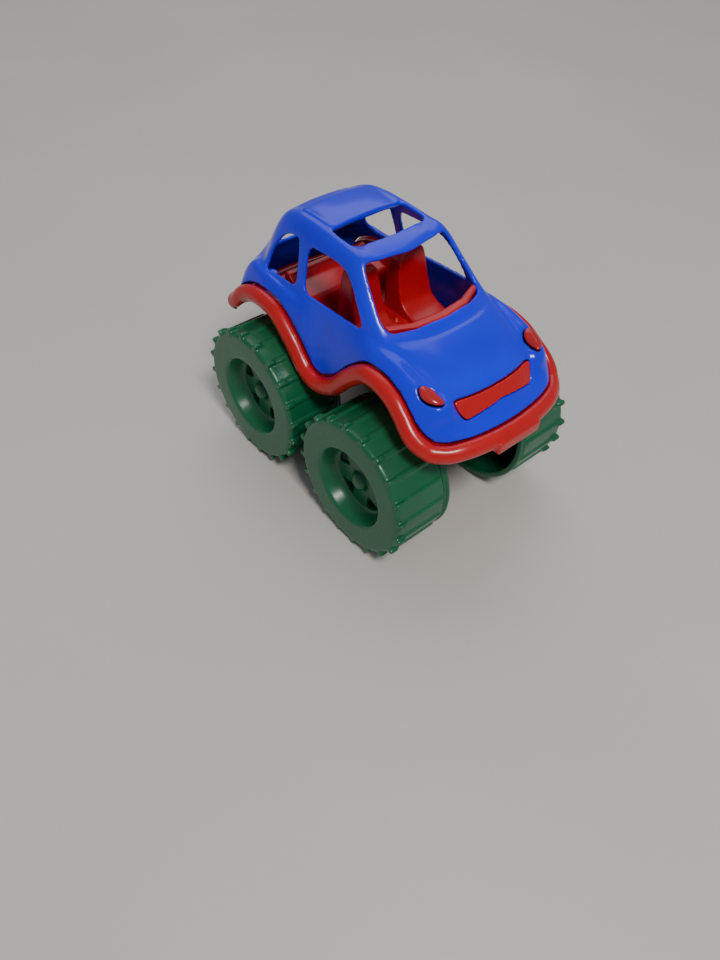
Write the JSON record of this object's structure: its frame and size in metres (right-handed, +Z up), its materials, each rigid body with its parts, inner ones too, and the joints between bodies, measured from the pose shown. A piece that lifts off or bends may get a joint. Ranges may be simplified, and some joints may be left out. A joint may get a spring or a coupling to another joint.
{
  "type": "toy car",
  "caption": "Toy beetle car on high wheels: moulded plastic body with open windows, red tub, seats, free-rolling axles and a friction flywheel motor",
  "frame": {"origin": "on the ground under the middle of the car", "axes": "+Z up, -Y forward, +X to the car's left"},
  "size_m": [0.0918, 0.1406, 0.1052],
  "materials": {
    "blue_plastic": "glossy moulded",
    "red_plastic": "glossy moulded",
    "green_plastic": "satin moulded",
    "grey_plastic": "matte moulded",
    "steel": "drawn",
    "brass": "machined"
  },
  "bodies": {
    "car": {"body_shell": "blue_plastic", "chassis_tub": "red_plastic", "seat_insert": "red_plastic", "front_insert": "red_plastic", "idler_shaft": "steel", "motor_housing_left": "grey_plastic", "motor_housing_right": "grey_plastic", "body_screw_1": "steel", "body_screw_2": "steel", "body_screw_3": "steel", "body_screw_4": "steel"},
    "front_wheelset": {"axle_front": "steel", "wheel_front_left": "green_plastic", "wheel_front_right": "green_plastic"},
    "rear_wheelset": {"axle_rear": "steel", "wheel_rear_left": "green_plastic", "wheel_rear_right": "green_plastic", "axle_gear": "grey_plastic"},
    "idler": {"idler_gear": "grey_plastic"},
    "flywheel_rotor": {"flywheel": "steel", "flywheel_shaft": "steel", "flywheel_pinion": "brass"}
  },
  "joints": [
    {"name": "front_axle_spin", "type": "hinge", "parent": "car", "child": "front_wheelset", "pos_m": [0, -0.032, 0.03], "axis": [1, 0, 0], "continuous": true},
    {"name": "rear_axle_spin", "type": "hinge", "parent": "car", "child": "rear_wheelset", "pos_m": [0, 0.032, 0.03], "axis": [1, 0, 0], "continuous": true},
    {"name": "idler_spin", "type": "hinge", "parent": "car", "child": "idler", "pos_m": [0, 0.02801, 0.03987], "axis": [1, 0, 0], "continuous": true},
    {"name": "flywheel_spin", "type": "hinge", "parent": "car", "child": "flywheel_rotor", "pos_m": [0, 0.03334, 0.0491], "axis": [1, 0, 0], "continuous": true}
  ],
  "couplings": [
    {"joint": "idler_spin", "follows": "rear_axle_spin", "ratio": -2.25},
    {"joint": "flywheel_spin", "follows": "rear_axle_spin", "ratio": 5.0625}
  ]
}
